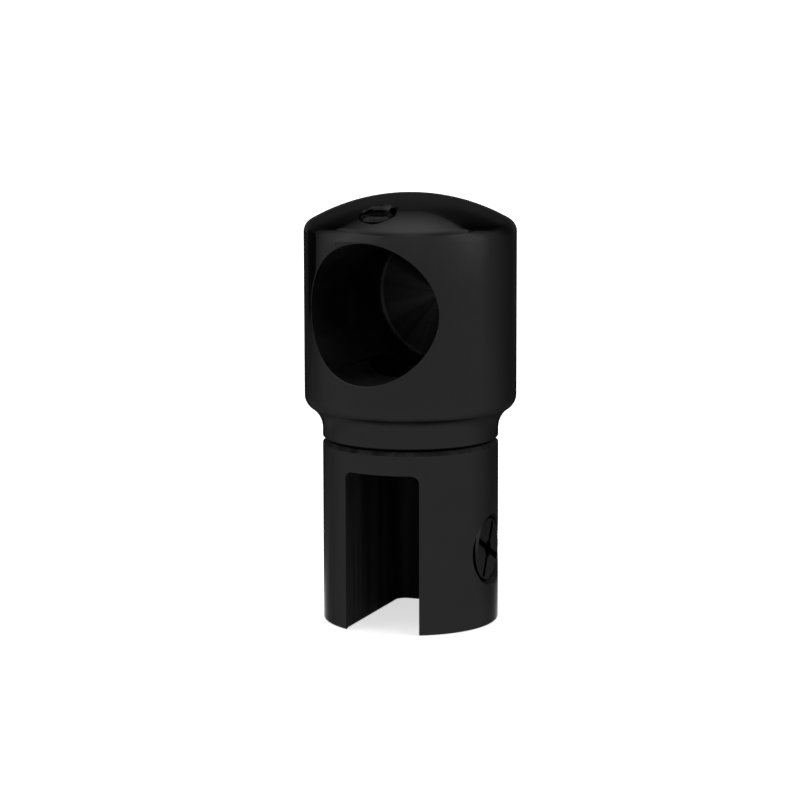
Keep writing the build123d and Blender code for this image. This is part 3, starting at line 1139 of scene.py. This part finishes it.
def panel_glow(finish):
    """The overhead panel's glow: dim at its back edge, brightest in the middle, and less to the sides."""
    placed = finish.node("ShaderNodeSeparateXYZ", Vector=turned_place(finish, -camera_round))
    from_back = finish.between(placed.outputs["Y"], 2.25, 0.70, 0.54, panel_back)
    from_front = finish.between(placed.outputs["Y"], 1.2, 2.25, -0.3, 0.2)
    sideways = finish.between(finish.combine("ABSOLUTE", placed.outputs["X"]), 1.0, 0.6, 0.1, 0.42)
    return finish.combine("MULTIPLY", finish.combine("MINIMUM", from_back, from_front), sideways)


panel_corners = [
    studio_point(-0.42, panel_back, ceiling),
    studio_point(0.13, panel_back, ceiling),
    studio_point(1.71, -1.2, ceiling),
    studio_point(-2.6, -1.2, ceiling),
]
panel = bmesh.new()
bmesh.ops.contextual_create(panel, geom=[panel.verts.new(corner) for corner in panel_corners])
reflected_only("overhead_panel", panel, panel_glow)
front_levels = (
    (-120, 0.50), (-108, 0.95), (-92, 1.4), (-75, 1.85), (-44, 1.3), (-28, 1.0), (20, 1.0), (45, 1.25),
    (62, 1.8), (78, 1.75), (94, 0.85), (112, 0.55),
)
side_levels = (
    (-170, 0.06), (-160, 0.14), (-150, 0.27), (-140, 0.25), (-130, 0.18), (-124, 0.45), (-115, 0.9),
    (-105, 1.2), (91, 1.5), (97, 0.9), (110, 0.6), (117, 0.45), (123, 0.36), (130, 0.24),
    (140, 0.19), (150, 0.18), (160, 0.12), (170, 0.06),
)
back_levels = (
    (-180, 0.52), (-175, 0.48), (-171, 0.36), (-166, 0.26), (-162, 0.22), (-158, 0.16), (-154, 0.06),
    (154, 0.06), (158, 0.16), (162, 0.22), (166, 0.26), (171, 0.36), (175, 0.48),
)


def front_glow(finish):
    """The screen's glow, which changes with the direction only."""
    return level_round(finish, front_levels)


def room_glow(finish):
    """The room's glow behind the clamp: it rises with height straight behind, and is dim at the sides."""
    height = finish.node("ShaderNodeSeparateXYZ", Vector=finish.place).outputs["Z"]
    risen = finish.combine("POWER", finish.between(height, 0.0, 1.0, 0.3, 1.0), 1.3)
    risen_level = finish.between(risen, 0.055, 0.5, 0.0, 1.0)
    straight_behind = finish.combine("MINIMUM", risen_level, level_round(finish, back_levels))
    dimmer_above = finish.between(height, 1.0, 0.3, 0.6, 1.05)
    at_sides = finish.combine("MULTIPLY", level_round(finish, side_levels), dimmer_above)
    return finish.combine("MAXIMUM", straight_behind, at_sides)


curved_card("front_screen", -119, 111, 0.42, 0.003, 0.55, front_glow)
curved_card("left_flag", -143, -120, 0.31, 0.0, 0.095, 0.07)
curved_card("room_behind", 90, 270, 1.3, 0.0, 2.4, room_glow)

# %% [markdown]
# The camera looks slightly down, so the upright walls mirror the table. A glowing disc just above the
# paper stands in for it: bright in front and near the clamp, and dark behind, as in the picture.

# %% The table as the plating sees it
far_levels = (
    (-180, 0.01), (-167, 0.02), (-153, 0.07), (-141, 0.17), (-130, 0.5), (-118, 0.70), (-105, 1.0),
    (-80, 1.0), (0, 0.90), (80, 0.95), (95, 0.76), (113, 0.58), (126, 0.44), (140, 0.20),
    (156, 0.05), (170, 0.01),
)
near_levels = (
    (-180, 0.01), (-165, 0.01), (-153, 0.03), (-140, 0.28), (-127, 0.85), (-98, 1.0), (-60, 1.0),
    (0, 1.0), (80, 0.97), (95, 0.83), (113, 0.68), (126, 0.50), (140, 0.18), (153, 0.02), (165, 0.01),
)
above_paper = 0.0003


def table_glow(finish):
    """The table's glow, which changes with the direction and with the distance from the clamp."""
    distance = finish.node("ShaderNodeVectorMath", {"operation": "LENGTH"}, Vector=finish.place)
    fade = finish.between(distance.outputs["Value"], 0, 1, 0.15, 0.33)
    near_by, far_off = level_round(finish, near_levels), level_round(finish, far_levels)
    return finish.node("ShaderNodeMix", Factor=fade, A=near_by, B=far_off).outputs["Result"]


disc = bmesh.new()
bmesh.ops.create_circle(disc, cap_ends=True, segments=SMALL_STEPS, radius=2.0)
bmesh.ops.translate(disc, vec=(0, 0, above_paper), verts=disc.verts)
reflected_only("table_glow", disc, table_glow)
